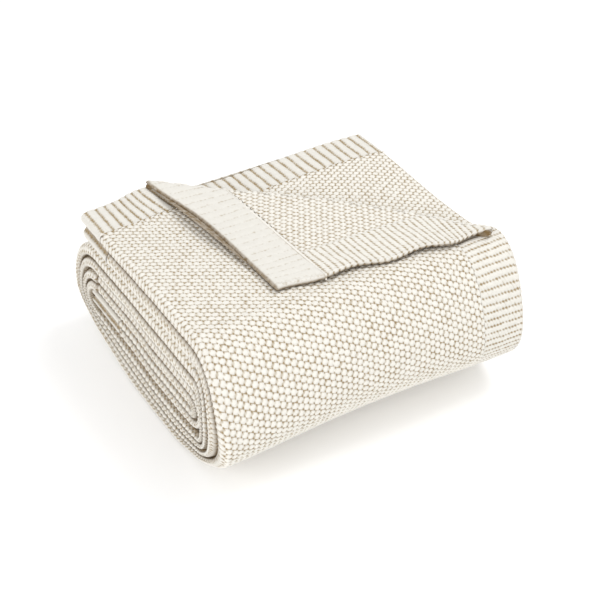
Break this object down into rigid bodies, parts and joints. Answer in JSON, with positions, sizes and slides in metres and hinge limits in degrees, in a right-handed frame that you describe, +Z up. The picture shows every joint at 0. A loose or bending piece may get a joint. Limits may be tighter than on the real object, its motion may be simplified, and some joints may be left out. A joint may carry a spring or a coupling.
{
  "type": "folded throw blanket",
  "caption": "Chunky cream knitted throw folded in four plies, wound into a flat roll, its free end on top with one corner turned back.",
  "frame": {"origin": "centre of the underside of the folded throw", "axes": "+Z up, +X along the roll (the folded width), +Y towards the back, where the free end lies on top"},
  "size_m": [0.318, 0.326, 0.1557],
  "materials": {
    "moss_knit": "matte chunky moss-stitch knit in natural cream yarn",
    "rib_knit": "matte 2 x 2 rib knit in the same yarn",
    "garter_knit": "matte garter-stitch band in the same yarn",
    "link_yarn": "single yarn of linking stitches"
  },
  "bodies": {
    "roll": {"core_link_seam": "link_yarn", "core_rib_border": "rib_knit", "core_turn_inner_plies": "moss_knit", "core_turn_outer_plies": "moss_knit", "outer_turn_ply_1": "moss_knit", "outer_turn_ply_2": "moss_knit", "outer_turn_ply_3": "moss_knit", "outer_turn_ply_4": "moss_knit", "outer_turn_side_band_1": "garter_knit", "outer_turn_side_band_4": "garter_knit", "second_turn_inner_plies": "moss_knit", "second_turn_outer_plies": "moss_knit"},
    "top_layer": {"top_ply_1": "moss_knit", "top_ply_1_link_seam": "link_yarn", "top_ply_1_rib_border": "rib_knit", "top_ply_2": "moss_knit", "top_ply_2_link_seam": "link_yarn", "top_ply_2_rib_border": "rib_knit", "top_ply_3": "moss_knit", "top_ply_3_link_seam": "link_yarn", "top_ply_3_rib_border": "rib_knit", "top_ply_4": "moss_knit", "top_ply_4_link_seam": "link_yarn", "top_ply_4_rib_border": "rib_knit", "top_ply_4_side_band": "garter_knit"},
    "turned_corner": {"corner_flap": "moss_knit", "corner_flap_link_seam": "link_yarn", "corner_flap_rib_border": "rib_knit", "corner_flap_side_band": "garter_knit", "crease_roll": "moss_knit"}
  },
  "joints": [
    {"name": "free_end_lift", "type": "hinge", "parent": "roll", "child": "top_layer", "pos_m": [0, -0.10585, 0.1495], "axis": [1, 0, 0], "range_deg": [0, 100]},
    {"name": "corner_turn", "type": "hinge", "parent": "top_layer", "child": "turned_corner", "pos_m": [0.045, 0.01, 0.14965], "axis": [-0.7071, 0.7071, 0], "range_deg": [0, 175]}
  ]
}
